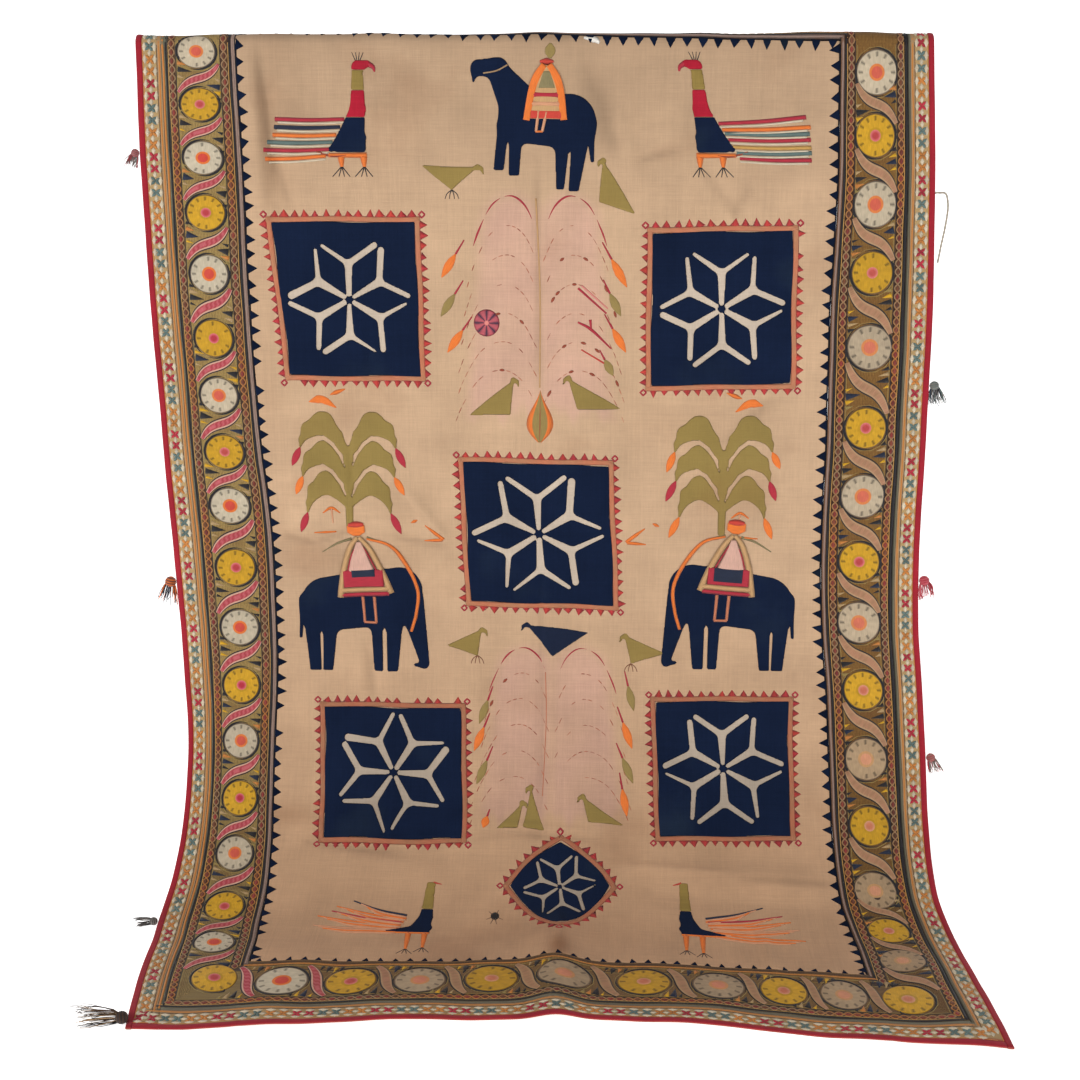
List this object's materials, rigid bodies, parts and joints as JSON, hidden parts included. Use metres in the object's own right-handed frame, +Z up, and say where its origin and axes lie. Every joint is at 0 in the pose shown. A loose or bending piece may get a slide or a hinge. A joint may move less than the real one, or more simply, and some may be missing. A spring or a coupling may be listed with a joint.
{
  "type": "embroidered wall hanging",
  "caption": "Cotton wall hanging folded over at the top, with embroidered borders, navy star and animal patches, edge tassels and a tie; its lower end sweeps over the floor",
  "frame": {"origin": "underside of the top fold, midway along it, where a rail or line bears", "axes": "+Z up, +X to the right when facing the worked face, worked face toward -Y"},
  "size_m": [1.3412, 0.6431, 1.367],
  "materials": {
    "field_cotton": "matte",
    "border_cloth": "matte",
    "band_cloth": "matte",
    "binding_cloth": "matte",
    "navy_cotton": "matte",
    "olive_cotton": "matte",
    "tassel_thread": "matte",
    "tie_thread": "matte"
  },
  "bodies": {
    "root": {"field_panel": "field_cotton", "border_left": "border_cloth", "border_right": "border_cloth", "border_top": "border_cloth", "border_bottom": "border_cloth", "band_left": "band_cloth", "band_right": "band_cloth", "band_top": "band_cloth", "band_bottom": "band_cloth", "binding_left": "binding_cloth", "binding_right": "binding_cloth", "binding_top": "binding_cloth", "binding_bottom": "binding_cloth", "star_upper_left": "navy_cotton", "star_upper_right": "navy_cotton", "star_centre": "navy_cotton", "star_lower_left": "navy_cotton", "star_lower_right": "navy_cotton", "star_point": "navy_cotton", "elephant_left": "navy_cotton", "elephant_right": "navy_cotton", "horse": "navy_cotton", "peacock_upper_left": "navy_cotton", "peacock_upper_right": "navy_cotton", "peacock_lower_left": "navy_cotton", "peacock_lower_right": "navy_cotton", "palm_left": "olive_cotton", "palm_right": "olive_cotton", "tassel_left_upper": "tassel_thread", "tassel_left_middle": "tassel_thread", "tassel_left_lower": "tassel_thread", "tassel_corner": "tassel_thread", "tassel_right_upper": "tassel_thread", "tassel_right_middle": "tassel_thread", "tassel_right_lower": "tassel_thread", "tie_cord": "tie_thread"}
  },
  "joints": []
}
